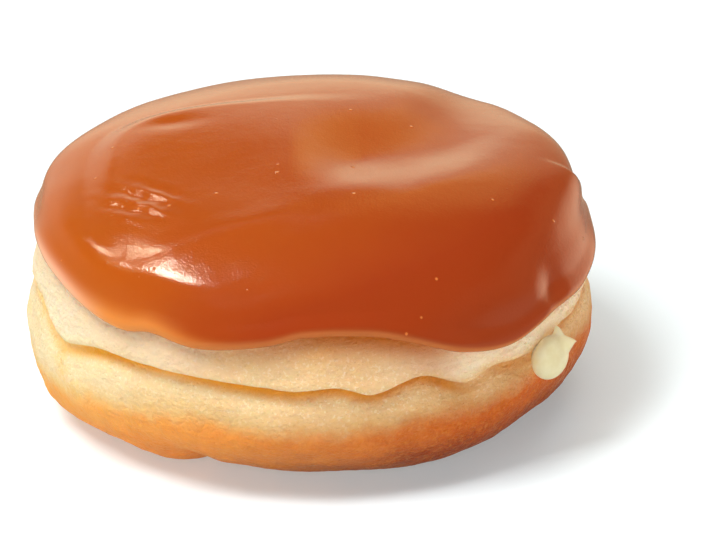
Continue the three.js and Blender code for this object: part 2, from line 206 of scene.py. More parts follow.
# Relief of the crown, in millimetres. It rises a little in the middle, and its left part slopes down to the
# front from a crest that ends the mound at the left and back. Beyond that crest lies a lower shelf.
CROWN_RISE = 0.65
CROWN_RISE_FADE = (26, 40)
FRONT_SLOPE_DROP = 2.8
FRONT_SLOPE_ALONG = (-17, 22)
FRONT_SLOPE_RIGHT = (-22, 20)
FRONT_SLOPE_FADE = (38, 60)
MOUND_CENTRE = (-4, -11)
MOUND_HALF = (27.9, 26.3)
MOUND_SQUARENESS = 4.5
SHELF_EDGE = (0.93, 1.32)
SHELF_FRONT = (-34, -13)
SHELF_RIGHT = (-24, 14)
SHELF_EASE = 0.6
STEP_EDGE = (0.96, 1.13)
STEP_FRONT = (-26, 6)
STEP_DROP = 1.1
# A wide trough that runs from the middle to the right
TROUGH_MIDDLE = -5
TROUGH_BEND = 0.02
TROUGH_FROM = 4
TROUGH_DEPTH = 2.4
TROUGH_LEFT = (-3, 9)
TROUGH_RIGHT = (22, 38)
TROUGH_BACK_WIDTH = 11.5
TROUGH_WIDENING = 0.12
TROUGH_WIDENS_FROM = 12
# The crest in front of the trough: how far forward it lies, its bend to the back and a tongue to the front
CREST_MIDDLE = -20.3
CREST_BEND = 0.022
CREST_FROM = 12
TONGUE_PLACE = 15
TONGUE_REACH = 2.5
TONGUE_WIDTH = 4
# A low fold that carries the crest on to the front left
FOLD_MIDDLE = -23.7
FOLD_LEAN = 0.25
FOLD_HEIGHT = 0.25
FOLD_WIDTH = 3.5
FOLD_LEFT = (-28, -20)
FOLD_RIGHT = (-8, 2)

# Small ripples in the icing near the mound's left edge: place, way across them, spacing, height, reach
# across and along them, and the noise that bends them
RIPPLE_PLACE = (-25.9, -14.5)
RIPPLE_WAY = (0.68, 0.73)
RIPPLE_SPACING = 3.4
RIPPLE_HEIGHT = 0.24
RIPPLE_REACH = (3.5, 5.5)
RIPPLE_WANDER = (0.7, 3, 2, 31.0)

# A shallow hollow just inside the left back end of the mound: place, reach and depth
CRATER_PLACE = (-21.5, 10)
CRATER_REACH = (4.5, 2.2)
CRATER_DEPTH = 0.35

# Low waves round the side: height, count round the doughnut, lean and start
SIDE_WAVES = [(0.22, 3, 0.1, 1), (0.16, 7, -0.3, 0), (0.12, 13, 0.5, 2)]
# Shares of the dough's height between which the side turns into the crown, and the millimetres from the
# flat spot over which the side begins
SIDE_END = (0.8, 0.95)
CROWN_START = (0.5, 0.8)
FLAT_BLEND = 8

# A step in the right side of the icing, and a dent in its edge above the cream
SIDE_STEP_RISE = (87, 89.5)
SIDE_STEP_FADE = (100, 122)
SIDE_STEP_BOTTOM = (25, 30)
SIDE_STEP_TOP = (36.5, 38.5)
SIDE_STEP_DEPTH = 0.9
EDGE_DENT_ANGLE = 55
EDGE_DENT_HEIGHT = 27.5
EDGE_DENT_WIDTH = (3.5, 2.6)
EDGE_DENT_DEPTH = 0.7
# A notch low in the crust at the front left
NOTCH_ANGLE = -28
NOTCH_HEIGHT = 3
NOTCH_WIDTH = (3.5, 3.2)
NOTCH_DEPTH = 1.4

# The cream: a pocket in the middle, a neck to the filling hole, and the peak that shows
POCKET_CENTRE = (1, -1, 19.5)
POCKET_HALF = (25, 23, 7.5)
NECK_START = 13.8
FIT_GAP = 0.3
HOLE_ANGLE = 53
HOLE_HEIGHT = 17
HOLE_RADIUS = 2.4
# The peak is an egg against the wall, drawn out to a beak at its right and a wisp on top.
# Sizes and places are (outwards, sideways, up), the horns' from the egg's middle.
EGG_REACH = 46.4
EGG_HALF = (2.5, 3.8, 3.6)
EGG_NARROWING = 0.2
BEAK = {"base": (0.4, 0.9, 0.6), "bend": (1.7, 2.8, 2.6), "tip": (2.2, 4.7, 1.4), "radii": (2.8, 0.3)}
WISP = {"base": (0.2, 1.7, 1.9), "bend": (0.1, 2.4, 3.5), "tip": (-0.3, 2.1, 4.7), "radii": (1.4, 0.5)}
HORN_TAPER = 1.6

# The peak is fused in cubes of this many metres, and then smoothed this many times
PEAK_CUBE = 0.00014
PEAK_SMOOTHING = 36

# Columns round each turned form, how many of them each step of its spin is cut into, and steps between
# two points of the section
COLUMNS = 512
CUTS = 8
SECTION_STEPS = 24

# Rows of the dough: how far below and above the crease they are crowded, and how many each part has
CROWDED_BELOW = 5
CROWDED_ABOVE = 4.5
LOW_ROWS = 54
CREASE_ROWS = 40
BAND_ROWS = 16
HIDDEN_ROWS = 14

# Noises, as height and size of their lumps in millimetres, octaves and seed: the dough's lumps and bumps,
# the wrinkles that run along its crease, the blisters of its foot, and the icing's waves
DOUGH_LUMPS = (0.22, 9, 2, 3.0)
DOUGH_BUMPS = (0.13, 2.2, 3, 7.0)
CREASE_WRINKLES = (0.16, 1.2, 3, 11.0)
WRINKLE_STRETCH = (3.2, 3.2, 0.7)
FOOT_BLISTERS = (0.20, 3.2, 3, 17.0)
SLOW_WAVES = (0.05, 14, 2, 23.0)
SMALL_WAVES = (0.012, 4, 2, 29.0)
# Where the dough's unevenness fades: by reach, by distance to the icing's edge, the blisters by height,
# and the wrinkles by distance from a line above the crease
UNEVEN_REACH = (26, 34)
UNEVEN_EDGE = (-1, 2)
BLISTER_TOP = (7, 12)
WRINKLES_ABOVE = 1
WRINKLES_WIDTH = 4

# Rows of the icing: shares of its span that its underside has, how far that sinks into the dough, its lip
# as (distance up from the edge, thickness), and where its outer side begins
UNDERSIDE_SHARES = (1, 0.8, 0.6, 0.4, 0.2, 0.1, 0.04, 0.015)
UNDERSIDE_SINK = 0.2
LIP_ROWS = [
    (0.0, -0.15), (-0.35, 0.3), (-0.6, 0.75), (-0.62, 1.2), (-0.4, 1.6), (0.0, 1.92), (0.5, 2.08),
]
OUTER_ROWS = 150
OUTER_START = 0.9
OUTER_CROWDING = 1.05
LIP_THINS = (0.5, 3.5)
LIP_OUTER_SIDE = (0.2, 1.5)
WAVES_START = (0, 3)

# What the dough's material reads, by millimetres above or below the crease, the icing's edge or the floor:
# the golden crease, partly painted shade, the upper roll, which is painted lighter at its ends, the painted
# dark line of shade and the painted shade and browning under the icing, and the crust
GOLD_BELOW = (-2.6, -0.8)
GOLD_ABOVE = (0.1, 0.7)
GOLD_LEAST = 0.25
GOLD_BY_DEPTH = 0.45
ROLL_START = (0.8, 2.5)
EDGE_LINE_SHADE = 0.6
EDGE_LINE_BELOW = 0.3
EDGE_LINE_WIDTH = 1.3
UNDER_ICING_WIDTH = 4.4
CRUST_SPAN = 10
# The icing's pale rim in millimetres: wider where the lip is pale, and most of all near one angle
RIM_WIDTH = 0.35
RIM_WIDENING = 0.9
RIM_EXTRA = 1.6
RIM_EXTRA_ANGLE = 327
RIM_EXTRA_SPREAD = 15
RIM_LEAST = 0.4


def section_curves(angles):
    """Points along the section at each angle, and their lengths along it, in millimetres."""
    corners = np.zeros((len(angles), len(SECTION), 2))
    for k, (out, up, uneven) in enumerate(SECTION):
        corners[:, k, 0] = out * RADIUS + (around(angles, UNEVEN[uneven]) if uneven else 0)
        corners[:, k, 1] = up * DOUGH_HEIGHT
    past_crown = corners[:, -2:-1] * (-1, 1)
    padded = np.concatenate([corners[:, :1], corners, past_crown], axis=1)
    points = []
    for k in range(len(SECTION) - 1):
        a, b, c, d = (padded[:, k + i, None, :] for i in range(4))
        t = (np.arange(SECTION_STEPS) / SECTION_STEPS)[None, :, None]
        points.append(0.5 * (2 * b + (c - a) * t + (2 * a - 5 * b + 4 * c - d) * t**2
                             + (3 * b - a - 3 * c + d) * t**3))
    points = np.concatenate(points + [corners[:, -1:]], axis=1)
    steps = np.linalg.norm(np.diff(points, axis=1), axis=2)
    return points, np.concatenate([np.zeros((len(angles), 1)), np.cumsum(steps, axis=1)], axis=1)


class Section:
    """The dough's section at every column, with the lengths along it of its landmarks."""

    def __init__(self, columns):
        self.angles = np.arange(columns) * 360 / columns
        self.points, self.lengths = section_curves(self.angles)
        self.crown = self.lengths[:, -1]
        self.crease = self.length_at(around(self.angles, CREASE_HEIGHT))
        self.edge = self.length_at(around(self.angles, ICING_EDGE))

    def length_at(self, heights):
        rows = zip(heights, self.points, self.lengths)
        return np.array([np.interp(h, p[:, 1], s) for h, p, s in rows])

    def at(self, lengths):
        """Places, as radius and height, and outward normals at the lengths given for each column."""
        ahead = 0.15
        here, there = (self._point(np.clip(lengths + shift, 0, self.crown[:, None]))
                       for shift in (-ahead, ahead))
        tangent = there - here
        tangent /= np.linalg.norm(tangent, axis=2)[..., None]
        return self._point(lengths), np.stack([tangent[..., 1], -tangent[..., 0]], axis=2)

    def _point(self, lengths):
        rows = zip(lengths, self.points, self.lengths)
        return np.array([np.stack([np.interp(s, t, p[:, 0]), np.interp(s, t, p[:, 1])], 1)
                         for s, p, t in rows])


def crown_relief(x, y):
    """Rise or fall of the crown at a place seen from above."""
    reach = np.hypot(x, y)
    rise = CROWN_RISE * (1 - smoothstep(reach, *CROWN_RISE_FADE))
    slope = (FRONT_SLOPE_DROP * (1 - smoothstep(y, *FRONT_SLOPE_ALONG))
             * (1 - smoothstep(x, *FRONT_SLOPE_RIGHT)) * (1 - smoothstep(reach, *FRONT_SLOPE_FADE)))
    shares = (np.abs(at - centre) / half for at, centre, half in zip((x, y), MOUND_CENTRE, MOUND_HALF))
    from_mound = sum(share**MOUND_SQUARENESS for share in shares) ** (1 / MOUND_SQUARENESS)
    behind = 1 - smoothstep(x, *SHELF_RIGHT)
    shelf = SHELF_EASE * smoothstep(from_mound, *SHELF_EDGE) * smoothstep(y, *SHELF_FRONT) * behind
    step = STEP_DROP * smoothstep(from_mound, *STEP_EDGE) * smoothstep(y, *STEP_FRONT) * behind
    return rise - slope * (1 - shelf) - step - trough_relief(x, y) + fold_relief(x, y)


def trough_relief(x, y):
    """Depth of the wide trough: a short wall up to the crest in front of it, and a long one behind."""
    bottom = TROUGH_MIDDLE + TROUGH_BEND * np.maximum(0, x - TROUGH_FROM) ** 2
    crest = (CREST_MIDDLE + CREST_BEND * np.maximum(0, x - CREST_FROM) ** 2
             - TONGUE_REACH * bell(x - TONGUE_PLACE, TONGUE_WIDTH))
    back_width = TROUGH_BACK_WIDTH + TROUGH_WIDENING * np.maximum(0, x - TROUGH_WIDENS_FROM) ** 2
    front = 1 - smoothstep((bottom - y) / (bottom - crest), 0, 1)
    along = smoothstep(x, *TROUGH_LEFT) * (1 - smoothstep(x, *TROUGH_RIGHT))
    return TROUGH_DEPTH * along * np.where(y < bottom, front, bell(y - bottom, back_width))


def fold_relief(x, y):
    """Height of the low fold."""
    along = smoothstep(x, *FOLD_LEFT) * (1 - smoothstep(x, *FOLD_RIGHT))
    return FOLD_HEIGHT * along * bell(y - FOLD_MIDDLE - FOLD_LEAN * x, FOLD_WIDTH)


def side_relief(angles, height):
    """How far the side stands out of its section."""
    signed = (angles + 180) % 360 - 180
    waves = sum(high * np.sin(count * np.radians(angles) + lean * height + start)
                for high, count, lean, start in SIDE_WAVES)
    past = signed - (SIDE_STEP_TOP[0] - height)
    step = (smoothstep(past, *SIDE_STEP_RISE) * (1 - smoothstep(past, *SIDE_STEP_FADE))
            * smoothstep(height, *SIDE_STEP_BOTTOM) * (1 - smoothstep(height, *SIDE_STEP_TOP)))
    dent = (bell(signed - EDGE_DENT_ANGLE, EDGE_DENT_WIDTH[0])
            * bell(height - EDGE_DENT_HEIGHT, EDGE_DENT_WIDTH[1]))
    notch = bell(signed - NOTCH_ANGLE, NOTCH_WIDTH[0]) * bell(height - NOTCH_HEIGHT, NOTCH_WIDTH[1])
    return waves - SIDE_STEP_DEPTH * step - EDGE_DENT_DEPTH * dent - NOTCH_DEPTH * notch


def surface(section, lengths, thickness=0.0):
    """Points of the dough's surface in millimetres, moved out by a thickness: columns by rows by 3."""
    base, normal = section.at(lengths)
    angles = section.angles[:, None]
    above = lengths - section.crease[:, None]
    depth = around(section.angles, CREASE_DEPTH)[:, None]
    hollow = depth * bell(above, np.where(above < 0, CREASE_FLOOR_SLOPE, CREASE_LIP_SLOPE))
    lip = depth * bell(above - LIP_OVERHANG_ABOVE, LIP_OVERHANG_WIDTH)
    height = base[..., 1]
    side = smoothstep(lengths, 0, FLAT_BLEND) * (1 - smoothstep(height / DOUGH_HEIGHT, *SIDE_END))
    out = side * side_relief(angles, height) - hollow + LIP_OVERHANG_OUTWARDS * lip + thickness
    radius = np.maximum(0, base[..., 0] + normal[..., 0] * out)
    x, y = radius * np.sin(np.radians(angles)), -radius * np.cos(np.radians(angles))
    crown = np.maximum(0, normal[..., 1]) * smoothstep(height / DOUGH_HEIGHT, *CROWN_START)
    z = height + normal[..., 1] * out - LIP_OVERHANG_DOWNWARDS * lip + crown * crown_relief(x, y)
    return np.stack([x, y, np.maximum(0, z)], axis=2)


def turned_form(name, rows):
    """A closed spun form of that many rows, with its poles on the axis.
    Each vertex keeps its row number as its height until the form is moved into shape."""
    bm = bmesh.new()
    line = [bm.verts.new((0, 0 if row in (0, rows - 1) else -1, row)) for row in range(rows)]
    edges = [bm.edges.new(pair) for pair in zip(line, line[1:])]
    bmesh.ops.spin(bm, geom=line + edges, cent=(0, 0, 0), axis=(0, 0, 1), dvec=(0, 0, 0),
                   angle=2 * math.pi, steps=COLUMNS // CUTS, use_merge=True, use_duplicate=False)
    level = [edge for edge in bm.edges if abs(edge.verts[0].co.z - edge.verts[1].co.z) < 0.5]
    bmesh.ops.subdivide_edges(bm, edges=level, cuts=CUTS - 1)
    bmesh.ops.remove_doubles(bm, verts=bm.verts, dist=1e-4)
    bmesh.ops.recalc_face_normals(bm, faces=bm.faces)
    mesh = bpy.data.meshes.new(name)
    bm.to_mesh(mesh)
    bm.free()
    return mesh


def columns_and_rows(mesh):
    """The column and the row of each vertex of a turned form."""
    co = np.zeros(len(mesh.vertices) * 3, np.float32)
    mesh.vertices.foreach_get("co", co)
    co = co.reshape(-1, 3)
    column = np.round(np.degrees(np.arctan2(co[:, 0], -co[:, 1])) * COLUMNS / 360).astype(int) % COLUMNS
    return column, np.round(co[:, 2]).astype(int)


def shaped_object(name, mesh, points):
    """Moves a mesh's vertices to points in millimetres, and makes it a smooth object."""
    mesh.vertices.foreach_set("co", (points * MM).astype(np.float32).ravel())
    mesh.update()
    mesh.shade_smooth()
    obj = bpy.data.objects.new(name, mesh)
    bpy.context.scene.collection.objects.link(obj)
    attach(obj, "root")
    return obj


def keep_values(mesh, name, values):
    """Keeps one number for each vertex, for a material to read."""
    attribute = mesh.attributes.new(name, "FLOAT", "POINT")
    attribute.data.foreach_set("value", values.astype(np.float32))


def noise_at(points, height, size, octaves, seed, stretch=(1, 1, 1)):
    """Soft noise at each point, with lumps of about that height and size in millimetres."""
    scale = Vector([1 / (size * s) for s in stretch])
    shift = Vector((seed, 2 * seed, 3 * seed))
    places = (Vector(p) * scale + shift for p in points.tolist())
    return height * np.array([noise.fractal(place, 1.0, 2.0, octaves) for place in places])


def dough_rows(section):
    """Lengths along the section of the dough's rows: close together where the side shows."""
    crease, edge, crown = (length[:, None] for length in (section.crease, section.edge, section.crown))
    low = np.linspace(0, 1, LOW_ROWS)[None, :] * (crease - CROWDED_BELOW)
    near = crease + np.linspace(-CROWDED_BELOW, CROWDED_ABOVE, CREASE_ROWS)[None, 1:]
    band_span = edge - crease - CROWDED_ABOVE
    band = crease + CROWDED_ABOVE + np.linspace(0, 1, BAND_ROWS)[None, 1:] * band_span
    hidden = edge + np.linspace(0, 1, HIDDEN_ROWS)[None, 1:] * (crown - edge)
    return np.concatenate([low, near, band, hidden], axis=1)


def make_dough(section):
    """The dough with its lumps, and with the values that its material reads."""
    lengths = dough_rows(section)
    points = surface(section, lengths)
    above = lengths - section.crease[:, None]
    to_edge = section.edge[:, None] - lengths
    # The middle of the flat spot is one more row, far below the crease and the icing
    points = np.concatenate([np.zeros((COLUMNS, 1, 3)), points], axis=1)
    above = np.concatenate([np.full((COLUMNS, 1), -40.0), above], axis=1)
    to_edge = np.concatenate([np.full((COLUMNS, 1), 60.0), to_edge], axis=1)
    mesh = turned_form("fried dough", points.shape[1])
    column, row = columns_and_rows(mesh)
    points, above, to_edge = (values[column, row] for values in (points, above, to_edge))
    angles = section.angles[column]

    reach = np.linalg.norm(points[:, :2], axis=1)
    outwards = points / np.maximum(1e-6, reach)[:, None]
    outwards[:, 2] = 0
    shows = smoothstep(reach, *UNEVEN_REACH) * smoothstep(to_edge, *UNEVEN_EDGE)
    lumps = noise_at(points, *DOUGH_LUMPS) + noise_at(points, *DOUGH_BUMPS)
    near_crease = bell(above - WRINKLES_ABOVE, WRINKLES_WIDTH)
    wrinkles = noise_at(points, *CREASE_WRINKLES, WRINKLE_STRETCH) * near_crease
    blisters = noise_at(points, *FOOT_BLISTERS) * (1 - smoothstep(points[:, 2], *BLISTER_TOP))
    points = points + outwards * ((lumps + wrinkles + blisters) * shows)[:, None]

    keep_dough_values(mesh, angles, points[:, 2], above, to_edge)
    dough = shaped_object("fried_dough", mesh, points)
    cut_pocket(dough)
    dough.data.shade_smooth()
    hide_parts("dough")
    return dough


def keep_dough_values(mesh, angles, height, above, to_edge):
    """Keeps how golden the crease is, partly as painted shade, where the upper roll lies, which the material
    paints lighter at its ends, how much painted shade and browning lies near the icing's edge, and how far
    down in the crust each point is. Above is the distance above the crease."""
    # The crease's golden colour, partly its own and partly painted warm shade, strongest where it is
    # deepest.
    in_crease = smoothstep(above, *GOLD_BELOW) * (1 - smoothstep(above, *GOLD_ABOVE))
    golden = np.clip(GOLD_LEAST + GOLD_BY_DEPTH * around(angles, CREASE_DEPTH), 0, 1)
    keep_values(mesh, "crease", golden * in_crease)
    keep_values(mesh, "roll", smoothstep(above, *ROLL_START))
    # A painted dark line of shade just under the icing's edge, and painted shade with browning further under
    # it.
    line = EDGE_LINE_SHADE * bell(to_edge - EDGE_LINE_BELOW, EDGE_LINE_WIDTH)
    shade = bell(to_edge, UNDER_ICING_WIDTH) * around(angles, UNDER_ICING)
    keep_values(mesh, "under_icing", np.maximum(line, shade))
    keep_values(mesh, "crust", (around(angles, CRUST_HEIGHT) - height) / CRUST_SPAN)


def ripples(points):
    """Rise of the small ripples."""
    x, y = points[:, 0] - RIPPLE_PLACE[0], points[:, 1] - RIPPLE_PLACE[1]
    across = x * RIPPLE_WAY[0] + y * RIPPLE_WAY[1]
    along = x * RIPPLE_WAY[1] - y * RIPPLE_WAY[0]
    turn = (across + noise_at(points, *RIPPLE_WANDER)) * 2 * np.pi / RIPPLE_SPACING
    return -RIPPLE_HEIGHT * np.sin(turn) * bell(across, RIPPLE_REACH[0]) * bell(along, RIPPLE_REACH[1])


def crater(points):
    """Depth of the shallow hollow."""
    across = (points[:, 0] - CRATER_PLACE[0]) / CRATER_REACH[0]
    along = (points[:, 1] - CRATER_PLACE[1]) / CRATER_REACH[1]
    return CRATER_DEPTH * np.exp(-across**2 - along**2)


def make_icing(section):
    """The icing: a skin over the crown, with a thicker rounded lip at its wavy edge."""
    edge = section.edge[:, None]
    span = section.crown[:, None] - edge
    under = np.array(UNDERSIDE_SHARES)
    lip = np.array(LIP_ROWS)
    outer_share = np.linspace(0, 1, OUTER_ROWS)[None, :] ** OUTER_CROWDING
    outer = edge + OUTER_START + outer_share * (span - OUTER_START)
    thinning = (ICING_THICKNESS - LIP_THICKNESS) * smoothstep(outer - edge, *LIP_THINS)
    lengths = np.concatenate([edge + under[None, :] * span, edge + lip[None, :, 0], outer], axis=1)
    thickness = np.concatenate([
        np.full((COLUMNS, len(under)), -UNDERSIDE_SINK),
        np.repeat(lip[None, :, 1], COLUMNS, axis=0),
        LIP_THICKNESS + thinning,
    ], axis=1)
    points = surface(section, lengths, thickness)
    outside = np.concatenate([
        np.zeros(len(under)), smoothstep(lip[:, 1], *LIP_OUTER_SIDE), np.ones(OUTER_ROWS),
    ])
    mesh = turned_form("maple icing", points.shape[1])
    column, row = columns_and_rows(mesh)
    points = points[column, row]
    from_edge = (lengths - edge)[column, row]
    angles = section.angles[column]
    shows = outside[row]

    waves = noise_at(points, *SLOW_WAVES) + noise_at(points, *SMALL_WAVES)
    rise = waves + ripples(points) - crater(points)
    points[:, 2] += rise * shows * smoothstep(from_edge, *WAVES_START)
    pale = around(angles, LIP_PALENESS)
    width = RIM_WIDTH + pale * (RIM_WIDENING + RIM_EXTRA * bell(angles - RIM_EXTRA_ANGLE, RIM_EXTRA_SPREAD))
    rim = bell(np.maximum(0, from_edge), width) * shows
    keep_values(mesh, "lip", rim * (RIM_LEAST + (1 - RIM_LEAST) * pale))
    icing = shaped_object("maple_icing", mesh, points)
    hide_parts("icing")
    return icing


def on_hole_line(reach, up=0.0):
    """A place on the filling hole's line, that far from the doughnut's axis, in metres."""
    turn = math.radians(HOLE_ANGLE)
    return Vector((reach * math.sin(turn), -reach * math.cos(turn), HOLE_HEIGHT + up)) * MM


def on_peak(place):
    """A place near the peak of cream, from (outwards, sideways, up) from the egg's middle, in metres."""
    turn = math.radians(HOLE_ANGLE)
    outwards, sideways, up = place
    aside = Vector((math.cos(turn), math.sin(turn), 0)) * (sideways * MM)
    return on_hole_line(EGG_REACH + outwards, up) + aside


def add_ball(bm, shape):
    """Adds a ball to a bmesh and moves each of its points by a rule."""
    ball = bmesh.ops.create_uvsphere(bm, u_segments=32, v_segments=24, radius=1)
    for vert in ball["verts"]:
        vert.co = shape(vert.co.copy())


def egg_point(way):
    """The rule that makes a ball the egg, narrower towards its top."""
    narrow = 1 - EGG_NARROWING * max(0, way.z)
    return on_peak((EGG_HALF[0] * way.x * narrow, EGG_HALF[1] * way.y * narrow, EGG_HALF[2] * way.z))


def horn_rule(base, bend, tip, radii):
    """The rule that draws a ball out along a curve, from one radius to another."""
    start, middle, end = on_peak(base), on_peak(bend), on_peak(tip)
    along = (end - start).normalized()
    across = Vector((0, 0, 1)).cross(along).normalized()
    above = along.cross(across)

    def point(way):
        share = (1 + way.z) / 2
        radius = (radii[1] + (radii[0] - radii[1]) * (1 - share) ** HORN_TAPER) * MM
        place = start * (1 - share) ** 2 + middle * 2 * share * (1 - share) + end * share**2
        return place + across * (radius * way.x) + above * (radius * way.y)

    return point


def closed_object(name, bm):
    """An object made of a bmesh of closed forms."""
    bmesh.ops.recalc_face_normals(bm, faces=bm.faces)
    mesh = bpy.data.meshes.new(name)
    bm.to_mesh(mesh)
    bm.free()
    obj = bpy.data.objects.new(name, mesh)
    bpy.context.scene.collection.objects.link(obj)
    return obj


def apply_modifiers(obj):
    """Turns an object's modifiers into its mesh."""
    bpy.context.view_layer.update()
    evaluated = obj.evaluated_get(bpy.context.evaluated_depsgraph_get())
    mesh = bpy.data.meshes.new_from_object(evaluated)
    obj.modifiers.clear()
    obj.data = mesh


def voxel_skin(obj, size):
    """Gives an object of several closed forms one skin."""
    remesh = obj.modifiers.new("one skin", "REMESH")
    remesh.mode = "VOXEL"
    remesh.voxel_size = size
    apply_modifiers(obj)


def combine(obj, other, operation):
    """Joins another object to this one, or cuts it out of this one, and removes the other."""
    boolean = obj.modifiers.new(operation.lower(), "BOOLEAN")
    boolean.operation = operation
    boolean.solver = "EXACT"
    boolean.object = other
    apply_modifiers(obj)
    bpy.data.objects.remove(other)


def smooth_points(mesh, rounds):
    """Smooths a mesh by moving each point half the way to the middle of its neighbours."""
    bm = bmesh.new()
    bm.from_mesh(mesh)
    for _ in range(rounds):
        bmesh.ops.smooth_vert(bm, verts=bm.verts, factor=0.5,
                              use_axis_x=True, use_axis_y=True, use_axis_z=True)
    bm.to_mesh(mesh)
    bm.free()


def pocket_form(grow):
    """The pocket of cream in the middle, larger by grow on every side."""
    bm = bmesh.new()
    bmesh.ops.create_uvsphere(bm, u_segments=64, v_segments=32, radius=1)
    bmesh.ops.scale(bm, verts=bm.verts, vec=Vector([half + grow for half in POCKET_HALF]) * MM)
    bmesh.ops.translate(bm, verts=bm.verts, vec=Vector(POCKET_CENTRE) * MM)
    return closed_object("pocket", bm)


def neck_form(grow, reach):
    """The round neck of cream, from inside the pocket out to that reach, wider by grow all round."""
    start, end = on_hole_line(NECK_START), on_hole_line(reach)
    along = end - start
    bm = bmesh.new()
    radius = (HOLE_RADIUS + grow) * MM
    turn = Vector((0, 0, 1)).rotation_difference(along).to_matrix().to_4x4()
    bmesh.ops.create_cone(bm, cap_ends=True, segments=48, radius1=radius, radius2=radius,
                          depth=along.length, matrix=Matrix.Translation((start + end) / 2) @ turn)
    return closed_object("neck", bm)


def cut_pocket(dough):
    """Cuts the room that the cream takes up out of the dough, with its filling hole."""
    combine(dough, pocket_form(FIT_GAP), "DIFFERENCE")
    combine(dough, neck_form(FIT_GAP, EGG_REACH), "DIFFERENCE")


def make_cream():
    """The peak with the neck and the pocket behind it, as one piece."""
    bm = bmesh.new()
    add_ball(bm, egg_point)
    add_ball(bm, horn_rule(**BEAK))
    add_ball(bm, horn_rule(**WISP))
    cream = closed_object("cream_filling", bm)
    voxel_skin(cream, PEAK_CUBE)
    smooth_points(cream.data, PEAK_SMOOTHING)
    combine(cream, neck_form(0, EGG_REACH), "UNION")
    combine(cream, pocket_form(0), "UNION")
    cream.data.shade_smooth()
    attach(cream, "root")
    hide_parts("cream")
    return cream


def new_node(tree, kind, settings=None, **sockets):
    """A node of a kind, with its settings, and with values or links for its named inputs."""
    node = tree.nodes.new(kind)
    for key, value in (settings or {}).items():
        setattr(node, key, value)
    for key, value in sockets.items():
        plug(tree, node.inputs[key.replace("_", " ")], value)
    return node


def plug(tree, socket, value):
    """Links an output to an input, or sets the input's value."""
    if isinstance(value, bpy.types.NodeSocket):
        tree.links.new(value, socket)
    else:
        socket.default_value = value


def math_node(tree, operation, *values):
    node = tree.nodes.new("ShaderNodeMath")
    node.operation = operation
    for socket, value in zip(node.inputs, values):
        plug(tree, socket, value)
    return node.outputs[0]


def times(tree, first, second):
    return math_node(tree, "MULTIPLY", first, second)


def mix_colour(tree, share, first, second, blend="MIX"):
    """The first colour where the share is nought, and the second, or both added up, where it is one."""
    node = tree.nodes.new("ShaderNodeMix")
    node.data_type = "RGBA"
    node.blend_type = blend
    node.clamp_factor = True
    for socket, value in zip((node.inputs[0], node.inputs[6], node.inputs[7]), (share, first, second)):
        plug(tree, socket, value)
    return node.outputs[2]


def stain_and_painted_light(tree, base, mask, strength, overlay_colour):
    """Lays another colour over the base wherever a mask says, up to that strength. It lays real stains and
    also painted light and shade.
    """
    return mix_colour(tree, times(tree, mask, strength), base, overlay_colour)


def ramp_share(tree, value, low, high):
    """Nought below low, one above high, with a soft rise between."""
    node = tree.nodes.new("ShaderNodeMapRange")
    node.interpolation_type = "SMOOTHSTEP"
    plug(tree, node.inputs["Value"], value)
    node.inputs["From Min"].default_value = low
    node.inputs["From Max"].default_value = high
    return node.outputs["Result"]


def colour(red, green, blue):
    """A colour as the eye names it, from 0 to 255, turned into the shader's own scale."""
    shares = [c / 255 for c in (red, green, blue)]
    return tuple(s / 12.92 if s <= 0.04045 else ((s + 0.055) / 1.055) ** 2.4 for s in shares) + (1,)


def noise_node(tree, place, scale, detail, rough=0.55, stretch=(1, 1, 1)):
    """Noise with about that many lumps in a metre."""
    if stretch != (1, 1, 1):
        mapping = new_node(tree, "ShaderNodeMapping", Vector=place, Scale=stretch)
        place = mapping.outputs["Vector"]
    node = new_node(tree, "ShaderNodeTexNoise", Vector=place, Scale=scale, Detail=detail, Roughness=rough)
    return node.outputs["Fac"]


def read_value(tree, name):
    """The number that a mesh keeps for each of its points under that name."""
    return new_node(tree, "ShaderNodeAttribute", {"attribute_name": name}).outputs["Fac"]


def new_material(name):
    material = bpy.data.materials.new(name)
    material.use_nodes = True
    tree = material.node_tree
    return material, tree, tree.nodes["Principled BSDF"]


def bubbles_group():
    """A node group that makes a mask of small round bubbles, each one highest at its middle.
    Scale is how many cells lie in a metre, Size a bubble's radius and Share how many cells have one."""
    tree = bpy.data.node_groups.new("small bubbles", "ShaderNodeTree")
    tree.interface.new_socket("Vector", in_out="INPUT", socket_type="NodeSocketVector")
    for name in ("Scale", "Size", "Share"):
        tree.interface.new_socket(name, in_out="INPUT", socket_type="NodeSocketFloat")
    tree.interface.new_socket("Mask", in_out="OUTPUT", socket_type="NodeSocketFloat")
    given = tree.nodes.new("NodeGroupInput")
    result = tree.nodes.new("NodeGroupOutput")
    vector, scale, size, share = (given.outputs[name] for name in ("Vector", "Scale", "Size", "Share"))
    cells = new_node(tree, "ShaderNodeTexVoronoi", Vector=vector, Scale=scale)
    chance = new_node(tree, "ShaderNodeSeparateColor", Color=cells.outputs["Color"]).outputs["Red"]
    chosen = math_node(tree, "LESS_THAN", chance, share)
    away = math_node(tree, "DIVIDE", cells.outputs["Distance"], size)
    near = math_node(tree, "MAXIMUM", math_node(tree, "SUBTRACT", 1, away), 0)
    plug(tree, result.inputs["Mask"], times(tree, near, chosen))
    return tree


def place_bubbles(tree, group, place, scale, size, share):
    node = tree.nodes.new("ShaderNodeGroup")
    node.node_tree = group
    for name, value in (("Vector", place), ("Scale", scale), ("Size", size), ("Share", share)):
        plug(tree, node.inputs[name], value)
    return node.outputs["Mask"]


def set_sockets(shader, values):
    """Sets the shader's numbers and colours that are the same all over a surface."""
    for name, value in values.items():
        shader.inputs[name].default_value = value


